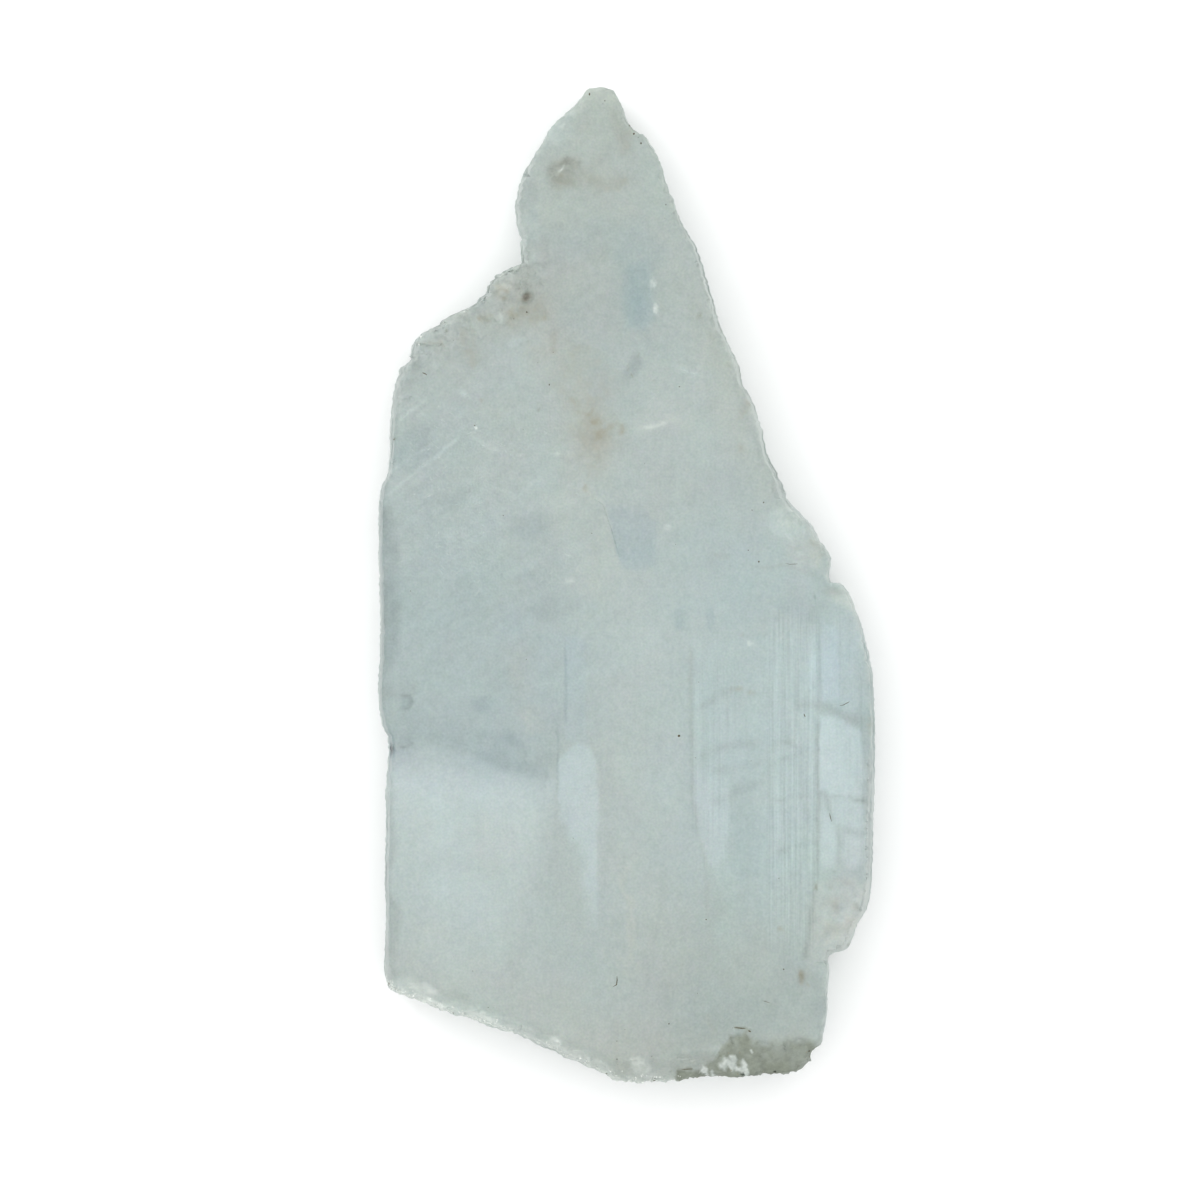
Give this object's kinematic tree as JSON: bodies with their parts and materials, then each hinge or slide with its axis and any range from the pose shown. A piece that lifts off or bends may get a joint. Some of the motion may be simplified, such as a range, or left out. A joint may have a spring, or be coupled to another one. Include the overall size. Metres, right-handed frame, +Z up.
{
  "type": "selenite slab",
  "caption": "Long cleavage slab of translucent selenite with a blunt pointed end, an oblique lower end, a raised plate on one side and a flat back to rest on.",
  "frame": {"origin": "middle of the slab's plan, on the flat back cleavage face that it lies on", "axes": "+Y along the crystal to its pointed end, +X to the right seen from above with the point away, +Z up, square to the broad cleavage faces"},
  "size_m": [0.0524, 0.105, 0.0136],
  "materials": {
    "selenite": "satin"
  },
  "bodies": {
    "root": {"selenite_slab": "selenite"}
  },
  "joints": []
}
